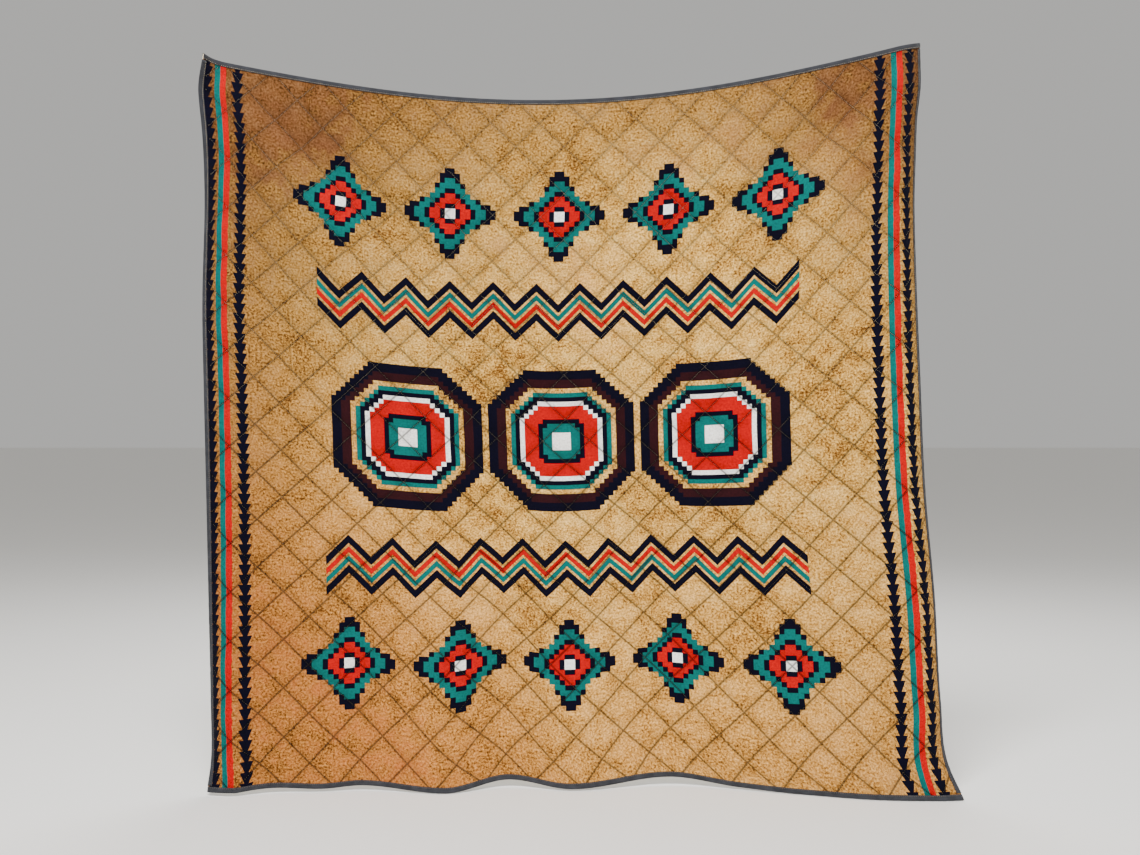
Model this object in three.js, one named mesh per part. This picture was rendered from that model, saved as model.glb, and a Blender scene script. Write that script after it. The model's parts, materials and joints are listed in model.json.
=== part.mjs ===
// Quilted bedspread held up by its two upper corners, its hem just reaching the ground.
// Millimetres, +Z up. The origin is the middle of the top edge and the printed face looks to -Y.
import * as THREE from 'three';

// Flat cut and quilting
const WIDTH = 1830;
const LENGTH = 1800;
const CELLS = 30;
const CELL_ACROSS = WIDTH / CELLS;
const CELL_DOWN = LENGTH / CELLS;

// Half thicknesses of the sandwich, at a sewn line and in the middle of a diamond
const SEAM_HALF = 1.2;
const CROWN_HALF = 4.8;

// Binding: folded tape over each edge, its wall, its gap at the fold, its clearance over the faces,
// and its reach over the cloth
const TAPE = 1.0;
const GAP = 0.4;
const CLEARANCE = 0.5;
const FLANGE = 12.5;
const BAND = 13;
const TAPE_OUTSIDE = SEAM_HALF + CLEARANCE + TAPE;
const TAPE_INSIDE = SEAM_HALF + CLEARANCE;

// How it is held: the two upper corners above the middle of the top edge, and the sag between them
const LEFT_HELD = 103;
const RIGHT_HELD = 147;
const SAG = 125;
const GROUND = -1669;

// The middle hangs back from the line between corners and hem by this much at its deepest
const BELLY = 150;
const BELLY_PEAK = Math.pow(0.6, 1.5) * 0.4;
const KICK_POWER = 2.2;

// Width of each side strip that turns back or forward in one arc
const TURN = 70;

// Extra grid lines near the edges, where the cloth turns
const EDGE_COLUMNS = [0, BAND, 26, 42];
const EDGE_ROWS = [0, BAND];

// Rows of cells that are halved: at the top where the left edge turns from forward to back,
// and at the hem where the right edge turns from back to forward
const HALVED_TOP_ROWS = 8;
const HALVED_HEM_ROWS = 5;

// Side edges from the top to the hem: where the outline runs and how far the edge is turned,
// in degrees, back when positive and forward when negative
const SIDES = [
  { down: 0.000, left: -857, leftTurn: -85, right: 883, rightTurn: 60 },
  { down: 0.050, left: -876, leftTurn: -32, right: 885, rightTurn: 60 },
  { down: 0.100, left: -872, leftTurn: -6, right: 877, rightTurn: 67 },
  { down: 0.150, left: -871, leftTurn: 14, right: 875, rightTurn: 71 },
  { down: 0.220, left: -872, leftTurn: 34, right: 872, rightTurn: 75 },
  { down: 0.330, left: -875, leftTurn: 28, right: 875, rightTurn: 69 },
  { down: 0.450, left: -869, leftTurn: 16, right: 881, rightTurn: 62 },
  { down: 0.600, left: -860, leftTurn: 22, right: 888, rightTurn: 65 },
  { down: 0.750, left: -850, leftTurn: 38, right: 904, rightTurn: 69 },
  { down: 0.880, left: -839, leftTurn: 54, right: 908, rightTurn: 71 },
  { down: 0.960, left: -832, leftTurn: 50, right: 917, rightTurn: 46 },
  { down: 1.000, left: -836, leftTurn: 18, right: 946, rightTurn: 12 },
];

// Waves of the hem from left to right: how far back it stands and how far it is lifted off the ground
const HEM = [
  { across: 0.000, back: -150, lift: 2 },
  { across: 0.080, back: -70, lift: 10 },
  { across: 0.150, back: -60, lift: 6 },
  { across: 0.200, back: -42, lift: 10 },
  { across: 0.315, back: -82, lift: 0 },
  { across: 0.400, back: -8, lift: 16 },
  { across: 0.485, back: -52, lift: 3 },
  { across: 0.620, back: 12, lift: 18 },
  { across: 0.710, back: -38, lift: 5 },
  { across: 0.800, back: -95, lift: 0 },
  { across: 0.880, back: -140, lift: 0 },
  { across: 1.000, back: -155, lift: 0 },
];

// Soft creases pulled from the held corners: start, end, depth back from the face, and half width
const CREASES = [
  { fromAcross: 0.02, fromDown: 0.00, toAcross: 0.47, toDown: 0.36, depth: 14, spread: 62 },
  { fromAcross: 0.03, fromDown: 0.02, toAcross: 0.33, toDown: 0.52, depth: -11, spread: 58 },
  { fromAcross: 0.02, fromDown: 0.04, toAcross: 0.17, toDown: 0.66, depth: 12, spread: 50 },
  { fromAcross: 0.98, fromDown: 0.00, toAcross: 0.58, toDown: 0.30, depth: 15, spread: 64 },
  { fromAcross: 0.97, fromDown: 0.02, toAcross: 0.70, toDown: 0.50, depth: -12, spread: 56 },
  { fromAcross: 0.98, fromDown: 0.04, toAcross: 0.86, toDown: 0.62, depth: 10, spread: 52 },
];

const SMALL_TURN = 1e-4;
const STEP = 0.5;

// Slope of a table's column at one of its rows, level where the column turns round
function slopeAt(table, key, column, index) {
  const before = table[Math.max(index - 1, 0)];
  const here = table[index];
  const after = table[Math.min(index + 1, table.length - 1)];
  const stepIn = here[key] - before[key];
  const stepOut = after[key] - here[key];
  if (stepIn === 0) {
    return (after[column] - here[column]) / stepOut;
  }
  if (stepOut === 0) {
    return (here[column] - before[column]) / stepIn;
  }
  const slopeIn = (here[column] - before[column]) / stepIn;
  const slopeOut = (after[column] - here[column]) / stepOut;
  if (slopeIn * slopeOut <= 0) {
    return 0;
  }
  return (slopeIn * stepOut + slopeOut * stepIn) / (stepIn + stepOut);
}

// Smooth value of a table's column between its rows
function through(table, key, column, where) {
  let index = 0;
  while (index < table.length - 2 && where >= table[index + 1][key]) {
    index += 1;
  }
  const start = table[index];
  const end = table[index + 1];
  const step = end[key] - start[key];
  const t = THREE.MathUtils.clamp((where - start[key]) / step, 0, 1);
  const rest = 1 - t;
  const fromStart = (1 + 2 * t) * rest * rest * start[column];
  const startSlope = t * rest * rest * step * slopeAt(table, key, column, index);
  const fromEnd = t * t * (3 - 2 * t) * end[column];
  const endSlope = t * t * (t - 1) * step * slopeAt(table, key, column, index + 1);
  return fromStart + startSlope + fromEnd + endSlope;
}

// How far a turned side strip still reaches sideways
function reach(turn) {
  const angle = Math.max(Math.abs(turn), SMALL_TURN);
  return TURN * Math.sin(Math.min(angle, Math.PI / 2)) / angle;
}

// Sideways and backward travel along the arc of a turned side strip
function turned(past, turn) {
  const bend = (Math.abs(turn) < SMALL_TURN ? SMALL_TURN : turn) / TURN;
  return { out: Math.sin(bend * past) / bend, back: (1 - Math.cos(bend * past)) / bend };
}

// Depth of all the pulled creases at a place on the cloth
function creaseDepth(across, down) {
  let depth = 0;
  for (const crease of CREASES) {
    const runX = (crease.toAcross - crease.fromAcross) * WIDTH;
    const runY = (crease.toDown - crease.fromDown) * LENGTH;
    const placeX = (across - crease.fromAcross) * WIDTH;
    const placeY = (down - crease.fromDown) * LENGTH;
    const run = Math.hypot(runX, runY);
    const along = (placeX * runX + placeY * runY) / (run * run);
    if (along <= 0 || along >= 1) {
      continue;
    }
    const aside = (placeX * runY - placeY * runX) / run / crease.spread;
    const fade = Math.pow(Math.sin(Math.PI * Math.pow(along, 0.7)), 2);
    depth += crease.depth * fade * Math.exp(-aside * aside);
  }
  return depth;
}

// Middle layer of the hanging cloth, u across from the left edge and v down from the top edge
function hang(u, v) {
  const down = v / LENGTH;
  const straight = THREE.MathUtils.clamp(u, TURN, WIDTH - TURN);
  const across = straight / WIDTH;
  const leftTurn = THREE.MathUtils.degToRad(through(SIDES, 'down', 'leftTurn', down));
  const rightTurn = THREE.MathUtils.degToRad(through(SIDES, 'down', 'rightTurn', down));
  const left = through(SIDES, 'down', 'left', down) + reach(leftTurn);
  const right = through(SIDES, 'down', 'right', down) - reach(rightTurn);
  const leftArc = turned(Math.max(TURN - u, 0), leftTurn);
  const rightArc = turned(Math.max(u - WIDTH + TURN, 0), rightTurn);
  const share = (straight - TURN) / (WIDTH - 2 * TURN);
  const topEdge = THREE.MathUtils.lerp(LEFT_HELD, RIGHT_HELD, u / WIDTH) - SAG * Math.sin(Math.PI * u / WIDTH);
  const hemEdge = GROUND + through(HEM, 'across', 'lift', across);
  const kick = through(HEM, 'across', 'back', across) * Math.pow(down, KICK_POWER);
  const belly = BELLY * Math.sin(Math.PI * across) * Math.pow(down, 1.5) * (1 - down) / BELLY_PEAK;
  const x = THREE.MathUtils.lerp(left, right, share) - leftArc.out + rightArc.out;
  const y = kick + belly + creaseDepth(across, down) + leftArc.back + rightArc.back;
  const z = THREE.MathUtils.lerp(topEdge, hemEdge, down);
  return new THREE.Vector3(x, y, z);
}

// Point, directions across and down, and front normal; the bound band at each edge runs straight on
function place(u, v) {
  const heldU = THREE.MathUtils.clamp(u, BAND, WIDTH - BAND);
  const heldV = THREE.MathUtils.clamp(v, BAND, LENGTH - BAND);
  const across = hang(heldU + STEP, heldV).sub(hang(heldU - STEP, heldV)).divideScalar(2 * STEP);
  const down = hang(heldU, heldV + STEP).sub(hang(heldU, heldV - STEP)).divideScalar(2 * STEP);
  const normal = new THREE.Vector3().crossVectors(down, across).normalize();
  const point = hang(heldU, heldV);
  point.addScaledVector(across, u - heldU);
  point.addScaledVector(down, v - heldV);
  return { point, across, down, normal };
}

// Half thickness of the sandwich: thin on the sewn lines, full in each diamond, pressed flat at the edges
function halfThickness(u, v) {
  const rising = THREE.MathUtils.euclideanModulo(u / CELL_ACROSS + v / CELL_DOWN, 2);
  const falling = THREE.MathUtils.euclideanModulo(u / CELL_ACROSS - v / CELL_DOWN, 2);
  const puff = Math.min(Math.abs(1 - rising), Math.abs(1 - falling));
  const fromEdge = Math.min(u, WIDTH - u, v, LENGTH - v);
  const press = THREE.MathUtils.smoothstep(fromEdge, BAND, CELL_DOWN);
  return SEAM_HALF + (CROWN_HALF - SEAM_HALF) * puff * press;
}

// Grid lines along one side: the edge lines, the lattice, and the edge lines again from the far end
function gridLines(edgeLines, cell, size) {
  const lines = [...edgeLines];
  for (let index = 1; index < CELLS; index += 1) {
    lines.push(index * cell);
  }
  for (const line of [...edgeLines].reverse()) {
    lines.push(size - line);
  }
  return lines;
}

// Grid lines down the cloth, with the cells near the top and the hem halved
function rowLines(edgeLines) {
  const lines = gridLines(edgeLines, CELL_DOWN, LENGTH);
  for (let index = 0; index < CELLS; index += 1) {
    if (index < HALVED_TOP_ROWS || index >= CELLS - HALVED_HEM_ROWS) {
      lines.push((index + 0.5) * CELL_DOWN);
    }
  }
  return lines.sort((first, second) => first - second);
}

// True where the sewn line of a lattice cell falls from its upper left corner to its lower right one
function seamFalls(u, v) {
  return (Math.floor(u / CELL_ACROSS) + Math.floor(v / CELL_DOWN)) % 2 === 1;
}

// The two triangles of a quad, cut from its first corner or from its second
function cutQuad(a, b, c, d, fromFirst) {
  return fromFirst ? [a, b, c, a, c, d] : [b, c, d, b, d, a];
}

// Named closed mesh from points and triangles, turned so that its faces look outward
function closedMesh(name, points, triangles, material) {
  let volume = 0;
  for (let index = 0; index < triangles.length; index += 3) {
    const [a, b, c] = triangles.slice(index, index + 3).map((corner) => points[corner]);
    volume += a.dot(new THREE.Vector3().crossVectors(b, c));
  }
  const geometry = new THREE.BufferGeometry().setFromPoints(points);
  geometry.setIndex(volume < 0 ? [...triangles].reverse() : triangles);
  geometry.computeVertexNormals();
  const mesh = new THREE.Mesh(geometry, material);
  mesh.name = name;
  return mesh;
}

// The quilted sandwich: a front and a back grid joined round the rim
function quiltedBody(material) {
  const columns = gridLines(EDGE_COLUMNS, CELL_ACROSS, WIDTH);
  const rows = rowLines(EDGE_ROWS);
  const front = [];
  const back = [];
  for (const v of rows) {
    for (const u of columns) {
      const spot = place(u, v);
      const half = halfThickness(u, v);
      front.push(spot.point.clone().addScaledVector(spot.normal, half));
      back.push(spot.point.clone().addScaledVector(spot.normal, -half));
    }
  }
  const wide = columns.length;
  const behind = front.length;
  const triangles = [];
  for (let j = 0; j < rows.length - 1; j += 1) {
    for (let i = 0; i < wide - 1; i += 1) {
      const falls = seamFalls((columns[i] + columns[i + 1]) / 2, (rows[j] + rows[j + 1]) / 2);
      const a = j * wide + i;
      const faces = cutQuad(a, a + wide, a + wide + 1, a + 1, falls);
      triangles.push(...faces);
      triangles.push(...faces.map((corner) => corner + behind).reverse());
    }
  }
  const rim = [];
  for (let i = 0; i < wide - 1; i += 1) {
    rim.push(i);
  }
  for (let j = 0; j < rows.length - 1; j += 1) {
    rim.push(j * wide + wide - 1);
  }
  for (let i = wide - 1; i > 0; i -= 1) {
    rim.push((rows.length - 1) * wide + i);
  }
  for (let j = rows.length - 1; j > 0; j -= 1) {
    rim.push(j * wide);
  }
  rim.forEach((corner, index) => {
    const next = rim[(index + 1) % rim.length];
    triangles.push(...cutQuad(corner, next, next + behind, corner + behind, true));
  });
  return closedMesh('quilted_body', [...front, ...back], triangles, material);
}

// One binding strip: a folded U section carried along the stations of its edge, its quads cut the
// same way as those of the cloth under it so that the clearance stays even
function bindingStrip(name, stations, spineFromBack, material) {
  const section = [
    { inward: FLANGE, lift: TAPE_OUTSIDE },
    { inward: -GAP - TAPE, lift: TAPE_OUTSIDE },
    { inward: -GAP - TAPE, lift: -TAPE_OUTSIDE },
    { inward: FLANGE, lift: -TAPE_OUTSIDE },
    { inward: FLANGE, lift: -TAPE_INSIDE },
    { inward: -GAP, lift: -TAPE_INSIDE },
    { inward: -GAP, lift: TAPE_INSIDE },
    { inward: FLANGE, lift: TAPE_INSIDE },
  ];
  const points = [];
  for (const station of stations) {
    for (const corner of section) {
      const point = station.edge.clone().addScaledVector(station.inward, corner.inward);
      points.push(point.addScaledVector(station.normal, corner.lift));
    }
  }
  const round = section.length;
  const last = (stations.length - 1) * round;
  const triangles = [];
  for (let k = 0; k < stations.length - 1; k += 1) {
    for (let m = 0; m < round; m += 1) {
      const next = (m + 1) % round;
      const near = k * round + m;
      const far = k * round + next;
      const atEdge = section[m].inward < 0;
      const onSpine = atEdge && section[next].inward < 0;
      const fromBack = section[m].lift < 0;
      const fromFirst = onSpine ? fromBack === spineFromBack : atEdge === stations[k].edgeFirst;
      triangles.push(...cutQuad(near, far, far + round, near + round, fromFirst));
    }
  }
  for (const [a, b, c, d] of [[0, 1, 6, 7], [1, 2, 5, 6], [2, 3, 4, 5]]) {
    triangles.push(...cutQuad(a, d, c, b, true));
    triangles.push(...cutQuad(last + a, last + b, last + c, last + d, true));
  }
  return closedMesh(name, points, triangles, material);
}

// Stations of a strip along the top edge or the hem, running past both side edges
function levelStations(v, inwardSign) {
  const columns = gridLines(EDGE_COLUMNS, CELL_ACROSS, WIDTH);
  columns[0] = -GAP - TAPE;
  columns[columns.length - 1] = WIDTH + GAP + TAPE;
  return columns.map((u, index) => {
    const spot = place(u, v);
    const inward = spot.down.multiplyScalar(inwardSign);
    const middle = (u + columns[Math.min(index + 1, columns.length - 1)]) / 2;
    const edgeFirst = seamFalls(middle, v + inwardSign * BAND / 2) === inwardSign > 0;
    return { edge: spot.point, inward, normal: spot.normal, edgeFirst };
  });
}

// Stations of a strip down one side, stopping short of the strips above and below
function sideStations(u, inwardSign) {
  const rows = rowLines([FLANGE + GAP]);
  return rows.map((v, index) => {
    const spot = place(u, v);
    const inward = spot.across.multiplyScalar(inwardSign);
    const middle = (v + rows[Math.min(index + 1, rows.length - 1)]) / 2;
    const edgeFirst = seamFalls(u + inwardSign * BAND / 2, middle) === inwardSign > 0;
    return { edge: spot.point, inward, normal: spot.normal, edgeFirst };
  });
}

const printedTop = new THREE.MeshStandardMaterial({ color: '#c9a36b', roughness: 0.92 });
const bindingTape = new THREE.MeshStandardMaterial({ color: '#45464e', roughness: 0.9 });

const bedspread = new THREE.Group();
bedspread.name = 'quilted_bedspread';
bedspread.add(quiltedBody(printedTop));
bedspread.add(bindingStrip('binding_top', levelStations(0, 1), false, bindingTape));
bedspread.add(bindingStrip('binding_bottom', levelStations(LENGTH, -1), true, bindingTape));
bedspread.add(bindingStrip('binding_left', sideStations(0, 1), true, bindingTape));
bedspread.add(bindingStrip('binding_right', sideStations(WIDTH, -1), false, bindingTape));

export default bedspread;
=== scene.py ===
"""Quilted bedspread that hangs by its upper corners: quilted body, bound edges, stitches and stage.

Tables and formulas of the hanging cloth are in millimetres, as the solids use them. Meshes are in metres.
The cloth's own coordinates are u across from the left edge and v down from the top edge of the flat cut.
"""
import json

import bmesh
import bpy
import numpy as np
from mathutils import Matrix, Vector

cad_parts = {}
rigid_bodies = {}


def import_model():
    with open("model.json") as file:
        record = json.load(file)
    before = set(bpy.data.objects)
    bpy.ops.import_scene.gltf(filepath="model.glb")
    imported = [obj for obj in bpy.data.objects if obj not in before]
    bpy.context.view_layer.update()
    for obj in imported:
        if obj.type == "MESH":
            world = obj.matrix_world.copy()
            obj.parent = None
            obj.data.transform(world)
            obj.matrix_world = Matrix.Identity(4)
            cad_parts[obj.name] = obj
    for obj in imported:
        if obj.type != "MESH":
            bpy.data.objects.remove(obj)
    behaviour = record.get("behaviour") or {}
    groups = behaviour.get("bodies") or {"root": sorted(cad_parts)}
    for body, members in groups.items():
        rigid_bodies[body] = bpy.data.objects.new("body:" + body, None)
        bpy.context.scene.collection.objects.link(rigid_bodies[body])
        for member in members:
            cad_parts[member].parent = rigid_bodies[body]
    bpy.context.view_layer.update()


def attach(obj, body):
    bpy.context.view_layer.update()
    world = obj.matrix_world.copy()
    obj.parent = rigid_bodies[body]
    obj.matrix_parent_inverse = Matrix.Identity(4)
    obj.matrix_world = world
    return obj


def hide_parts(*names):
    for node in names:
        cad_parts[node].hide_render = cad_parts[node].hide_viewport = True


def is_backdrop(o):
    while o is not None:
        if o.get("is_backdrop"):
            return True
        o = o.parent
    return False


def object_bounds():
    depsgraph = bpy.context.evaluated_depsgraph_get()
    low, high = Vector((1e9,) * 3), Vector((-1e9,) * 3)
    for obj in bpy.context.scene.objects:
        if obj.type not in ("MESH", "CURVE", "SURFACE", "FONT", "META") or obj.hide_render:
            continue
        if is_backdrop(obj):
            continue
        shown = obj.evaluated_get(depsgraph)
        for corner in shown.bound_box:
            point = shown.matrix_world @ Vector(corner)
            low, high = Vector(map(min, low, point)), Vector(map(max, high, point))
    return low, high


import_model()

bl_info = {
    "name": "Quilted bedspread",
    "version": (1, 0, 0),
    "blender": (4, 5, 0),
    "location": "View3D > Sidebar > Bedspread",
    "description": "Builds a hanging quilted bedspread with bound edges on its packed solids",
    "category": "Object",
}

# Flat cut and quilting lattice, in millimetres
WIDTH = 1830.0
LENGTH = 1800.0
CELLS = 30
CELL_ACROSS = WIDTH / CELLS
CELL_DOWN = LENGTH / CELLS

# Edges by name, with their run and what a side tape leaves to the tapes across its ends, in millimetres
EDGES = (("top", WIDTH, 0.0), ("bottom", WIDTH, 0.0), ("left", LENGTH, 12.9), ("right", LENGTH, 12.9))

# How the cloth is held and how it hangs, in millimetres
LEFT_HELD = 103.0
RIGHT_HELD = 147.0
SAG = 125.0
GROUND = -1669.0
BELLY = 150.0
BELLY_PEAK = 0.6 ** 1.5 * 0.4
KICK_POWER = 2.2
TURN = 70.0
BAND = 13.0
SMALL_TURN = 1e-4
STEP = 0.5
MM = 0.001

# Rounded diamonds: power of their section, and how uneven they are, with the factors that mix cell numbers
DOME_POWER = 2.2
UNEVEN = 0.18
CELL_MIX = (12.9898, 78.233, 43.7)

# Tape section and stitches, in millimetres
TAPE_CUT = 32.0
TAPE_EDGE = 1.4
TAPE_BULGE = 0.35
TAPE_TUCK = 0.45
TAPE_TUCK_RUN = 1.6
STITCH_SHARE = 0.7
STITCH_WIDTH = 0.9
STITCH_HEIGHT = 0.5
STITCH_MARGIN = 14.0

# Lamps of the stage: name, place in metres, size in metres and power in watts
LAMPS = (
    ("key", (-0.6, -2.7, 3.4), 1.8, 440.0),
    ("fill", (2.8, -3.8, -0.2), 2.6, 60.0),
    ("back", (0.4, 2.8, 2.2), 2.6, 120.0),
)

# Side edges from the top to the hem: outline, and turn in degrees, back when positive
SIDES = (
    dict(down=0.000, left=-857, left_turn=-85, right=883, right_turn=60),
    dict(down=0.050, left=-876, left_turn=-32, right=885, right_turn=60),
    dict(down=0.100, left=-872, left_turn=-6, right=877, right_turn=67),
    dict(down=0.150, left=-871, left_turn=14, right=875, right_turn=71),
    dict(down=0.220, left=-872, left_turn=34, right=872, right_turn=75),
    dict(down=0.330, left=-875, left_turn=28, right=875, right_turn=69),
    dict(down=0.450, left=-869, left_turn=16, right=881, right_turn=62),
    dict(down=0.600, left=-860, left_turn=22, right=888, right_turn=65),
    dict(down=0.750, left=-850, left_turn=38, right=904, right_turn=69),
    dict(down=0.880, left=-839, left_turn=54, right=908, right_turn=71),
    dict(down=0.960, left=-832, left_turn=50, right=917, right_turn=46),
    dict(down=1.000, left=-836, left_turn=18, right=946, right_turn=12),
)

# Waves of the hem from left to right: how far back it stands and how far it is lifted
HEM = (
    dict(across=0.000, back=-150, lift=2),
    dict(across=0.080, back=-70, lift=10),
    dict(across=0.150, back=-60, lift=6),
    dict(across=0.200, back=-42, lift=10),
    dict(across=0.315, back=-82, lift=0),
    dict(across=0.400, back=-8, lift=16),
    dict(across=0.485, back=-52, lift=3),
    dict(across=0.620, back=12, lift=18),
    dict(across=0.710, back=-38, lift=5),
    dict(across=0.800, back=-95, lift=0),
    dict(across=0.880, back=-140, lift=0),
    dict(across=1.000, back=-155, lift=0),
)

# Soft creases pulled from the held corners: start, end, depth back from the face, and half width
CREASES = (
    dict(start=(0.02, 0.00), end=(0.47, 0.36), depth=14, spread=62),
    dict(start=(0.03, 0.02), end=(0.33, 0.52), depth=-11, spread=58),
    dict(start=(0.02, 0.04), end=(0.17, 0.66), depth=12, spread=50),
    dict(start=(0.98, 0.00), end=(0.58, 0.30), depth=15, spread=64),
    dict(start=(0.97, 0.02), end=(0.70, 0.50), depth=-12, spread=56),
    dict(start=(0.98, 0.04), end=(0.86, 0.62), depth=10, spread=52),
)

# Printed motifs, in millimetres from the middle of the print, which lies left of the cloth's middle
PRINT_SHIFT = 12.0
BORDER = 852.0
STRIPE = 14.0
TRIANGLE_RISE = 25.2
TRIANGLES_MIDDLE = BORDER - 4.0
TRIANGLES_APART = 38.0
OCTAGON_STEP = 12.0
OCTAGON_HALF = 200.0
OCTAGON_CORNER = 0.7
OCTAGON_ROW = 600.0
STAR_STEP = 13.0
STAR_HALF = 140.0
STAR_NOTCH = 11.5
STAR_ROW = 700.0
STAR_HEIGHT = 600.0
ZIGZAG_RISE = 56.0
ZIGZAG_ROW = 616.0
ZIGZAG_HEIGHT = 270.0
# Bands of each motif by the step or the millimetre at which they start; bare shows the ground
OCTAGON = (
    (0, "white"), (2, "teal"), (4, "navy"), (5, "red"), (8, "white"), (9, "navy"), (10, "teal"), (11, "bare"),
    (12, "maroon"), (14, "navy"), (16, "bare"),
)
STAR = ((0, "white"), (1, "navy"), (2, "red"), (4, "navy"), (5, "teal"), (7, "navy"), (9, "bare"))
ZIGZAG = (
    (0, "navy"), (22, "bare"), (30, "red"), (46, "bare"), (54, "teal"), (70, "bare"), (78, "navy"),
    (100, "bare"),
)


def linear(code):
    """Linear colour of an sRGB hex code."""
    shares = [int(code[place:place + 2], 16) / 255 for place in (0, 2, 4)]
    parts = [s / 12.92 if s <= 0.04045 else ((s + 0.055) / 1.055) ** 2.4 for s in shares]
    return (*parts, 1.0)


def column(table, name):
    """One named column of a table."""
    return np.array([row[name] for row in table], dtype=float)


def through(table, key, name, where):
    """Smooth value of a table's column between its rows, level where the column turns round."""
    marks = column(table, key)
    values = column(table, name)
    steps = np.diff(marks)
    slopes = np.diff(values) / steps
    tangents = np.empty_like(values)
    tangents[0] = slopes[0]
    tangents[-1] = slopes[-1]
    inner = (slopes[:-1] * steps[1:] + slopes[1:] * steps[:-1]) / (steps[1:] + steps[:-1])
    tangents[1:-1] = np.where(slopes[:-1] * slopes[1:] <= 0, 0, inner)
    index = np.clip(np.searchsorted(marks, where, side="right") - 1, 0, len(steps) - 1)
    step = steps[index]
    t = np.clip((where - marks[index]) / step, 0, 1)
    rest = 1 - t
    from_start = (1 + 2 * t) * rest * rest * values[index] + t * rest * rest * step * tangents[index]
    from_end = t * t * (3 - 2 * t) * values[index + 1] + t * t * (t - 1) * step * tangents[index + 1]
    return from_start + from_end


def reach(turn):
    """How far a turned side strip still reaches sideways."""
    angle = np.maximum(np.abs(turn), SMALL_TURN)
    return TURN * np.sin(np.minimum(angle, np.pi / 2)) / angle


def turned(past, turn):
    """Sideways and backward travel along the arc of a turned side strip."""
    bend = np.where(np.abs(turn) < SMALL_TURN, SMALL_TURN, turn) / TURN
    return np.sin(bend * past) / bend, (1 - np.cos(bend * past)) / bend


def crease_depth(across, down):
    """Depth of all the pulled creases at places on the cloth."""
    depth = np.zeros_like(across)
    for crease in CREASES:
        run_x = (crease["end"][0] - crease["start"][0]) * WIDTH
        run_y = (crease["end"][1] - crease["start"][1]) * LENGTH
        place_x = (across - crease["start"][0]) * WIDTH
        place_y = (down - crease["start"][1]) * LENGTH
        run = np.hypot(run_x, run_y)
        along = np.clip((place_x * run_x + place_y * run_y) / run ** 2, 0, 1)
        aside = (place_x * run_y - place_y * run_x) / run / crease["spread"]
        depth += crease["depth"] * np.sin(np.pi * along ** 0.7) ** 2 * np.exp(-aside ** 2)
    return depth


def hang(u, v):
    """Middle layer of the hanging cloth, in millimetres."""
    down = v / LENGTH
    straight = np.clip(u, TURN, WIDTH - TURN)
    across = straight / WIDTH
    left_turn = np.radians(through(SIDES, "down", "left_turn", down))
    right_turn = np.radians(through(SIDES, "down", "right_turn", down))
    left = through(SIDES, "down", "left", down) + reach(left_turn)
    right = through(SIDES, "down", "right", down) - reach(right_turn)
    left_out, left_back = turned(np.maximum(TURN - u, 0), left_turn)
    right_out, right_back = turned(np.maximum(u - WIDTH + TURN, 0), right_turn)
    share = (straight - TURN) / (WIDTH - 2 * TURN)
    top_edge = LEFT_HELD + (RIGHT_HELD - LEFT_HELD) * u / WIDTH - SAG * np.sin(np.pi * u / WIDTH)
    hem_edge = GROUND + through(HEM, "across", "lift", across)
    kick = through(HEM, "across", "back", across) * down ** KICK_POWER
    belly = BELLY * np.sin(np.pi * across) * down ** 1.5 * (1 - down) / BELLY_PEAK
    x = left + (right - left) * share - left_out + right_out
    y = kick + belly + crease_depth(across, down) + left_back + right_back
    z = top_edge + (hem_edge - top_edge) * down
    return np.stack([x, y, z], axis=-1)


def place(u, v):
    """Points and front normals of the cloth; the bound band at each edge runs straight on."""
    held_u = np.clip(u, BAND, WIDTH - BAND)
    held_v = np.clip(v, BAND, LENGTH - BAND)
    across = (hang(held_u + STEP, held_v) - hang(held_u - STEP, held_v)) / (2 * STEP)
    down = (hang(held_u, held_v + STEP) - hang(held_u, held_v - STEP)) / (2 * STEP)
    normal = np.cross(down, across)
    normal /= np.linalg.norm(normal, axis=-1, keepdims=True)
    point = hang(held_u, held_v) + across * (u - held_u)[:, None] + down * (v - held_v)[:, None]
    return point, normal


def lattice(u, v):
    """Lattice coordinates along the two seam directions; seams run at odd numbers."""
    return u / CELL_ACROSS + v / CELL_DOWN, u / CELL_ACROSS - v / CELL_DOWN


def puff(u, v, seam, crown):
    """Half thickness of the sandwich: rounded diamonds between sewn lines, pressed flat at the edges."""
    rising, falling = lattice(u, v)
    near_rising = 1 - np.abs(1 - np.mod(rising, 2))
    near_falling = 1 - np.abs(1 - np.mod(falling, 2))
    dome = (1 - near_rising ** DOME_POWER) * (1 - near_falling ** DOME_POWER)
    cell = np.floor((rising + 1) / 2) * CELL_MIX[0] + np.floor((falling + 1) / 2) * CELL_MIX[1]
    uneven = 1 + UNEVEN * np.sin(cell * CELL_MIX[2])
    from_edge = np.minimum.reduce([u, WIDTH - u, v, LENGTH - v])
    press = np.clip((from_edge - BAND) / (CELL_DOWN - BAND), 0, 1)
    press = press * press * (3 - 2 * press)
    return seam + (crown - seam) * dome * uneven * press


def read_points(mesh):
    """Vertex coordinates of a mesh as an array."""
    points = np.empty(len(mesh.vertices) * 3)
    mesh.vertices.foreach_get("co", points)
    return points.reshape(-1, 3)


def finish_piece(bm, name, materials):
    """Object in the scene from a bmesh, with its materials."""
    mesh = bpy.data.meshes.new(name)
    bm.to_mesh(mesh)
    bm.free()
    for material in materials:
        mesh.materials.append(material)
    mesh.shade_smooth()
    piece = bpy.data.objects.new(name, mesh)
    bpy.context.scene.collection.objects.link(piece)
    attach(piece, "root")
    return piece


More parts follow.
